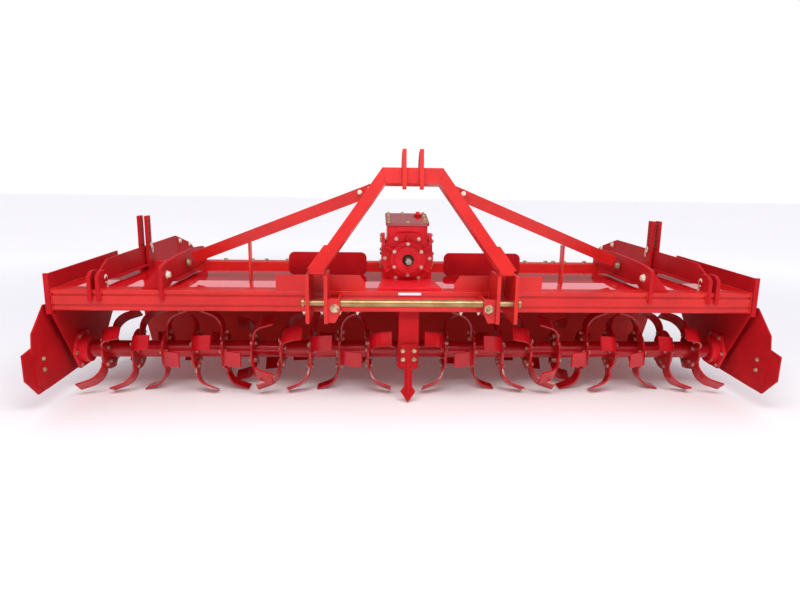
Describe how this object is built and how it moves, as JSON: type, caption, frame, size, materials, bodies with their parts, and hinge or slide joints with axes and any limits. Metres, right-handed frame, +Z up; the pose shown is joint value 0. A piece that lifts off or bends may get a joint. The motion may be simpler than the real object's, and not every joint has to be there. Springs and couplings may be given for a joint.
{
  "type": "rotary tiller",
  "caption": "Wide mounted rotary tiller with A-frame hitch, centre gearbox, bladed rotor under a flat deck, side shields, rear arms and a trailing board.",
  "frame": {"origin": "on the floor, at the middle of the overall length and width", "axes": "X across the machine, +X to its left side; +Y to the rear, so the tractor is towards -Y; +Z up"},
  "size_m": [3.928, 1.9233, 1.3933],
  "materials": {
    "red_paint": "gloss",
    "zinc": "satin",
    "bare_steel": "satin"
  },
  "bodies": {
    "frame": {"front_beam": "red_paint", "rear_beam": "red_paint", "deck": "red_paint", "hitch_bar": "zinc", "mast": "red_paint", "top_link_ears": "red_paint", "drive_case": "red_paint", "gearbox": "red_paint", "gearbox_flange": "red_paint", "gearbox_cover": "red_paint", "tine_holder": "red_paint", "centre_tine": "red_paint", "board_hinges": "red_paint", "side_plate_left": "red_paint", "side_plate_right": "red_paint", "side_shield_left": "red_paint", "side_shield_right": "red_paint", "shield_nose_left": "red_paint", "shield_nose_right": "red_paint", "hitch_plates_left": "red_paint", "hitch_plates_right": "red_paint", "bar_bracket_left": "red_paint", "bar_bracket_right": "red_paint", "stay_bracket_left": "red_paint", "stay_bracket_right": "red_paint", "stay_brace_left": "red_paint", "stay_brace_right": "red_paint", "stay_strut_left": "red_paint", "stay_strut_right": "red_paint", "arm_clevis_left": "red_paint", "arm_clevis_right": "red_paint", "arm_posts_left": "red_paint", "arm_posts_right": "red_paint", "front_guard_left": "red_paint", "front_guard_right": "red_paint", "rear_guard_left": "red_paint", "rear_guard_right": "red_paint", "end_bearing_left": "red_paint", "end_bearing_right": "red_paint"},
    "rotor": {"rotor": "red_paint"},
    "input_shaft": {"input_shaft": "bare_steel"},
    "arm_left": {"rear_arm_left": "red_paint"},
    "arm_right": {"rear_arm_right": "red_paint"},
    "board": {"trailing_board": "red_paint"}
  },
  "joints": [
    {"name": "rotor_spin", "type": "hinge", "parent": "frame", "child": "rotor", "pos_m": [0, -0.4347, 0.24171], "axis": [1, 0, 0], "continuous": true},
    {"name": "input_spin", "type": "hinge", "parent": "frame", "child": "input_shaft", "pos_m": [0, -0.5757, 0.785], "axis": [0, 1, 0], "continuous": true},
    {"name": "arm_lift_left", "type": "hinge", "parent": "frame", "child": "arm_left", "pos_m": [1.672, -0.6637, 0.694], "axis": [1, 0, 0], "range_deg": [0, 12]},
    {"name": "arm_lift_right", "type": "hinge", "parent": "frame", "child": "arm_right", "pos_m": [-1.672, -0.6637, 0.694], "axis": [1, 0, 0], "range_deg": [0, 12]},
    {"name": "board_swing", "type": "hinge", "parent": "frame", "child": "board", "pos_m": [0, 0.1953, 0.64], "axis": [1, 0, 0], "range_deg": [0, 40]}
  ],
  "couplings": [
    {"joint": "input_spin", "follows": "rotor_spin", "ratio": 2.2}
  ]
}
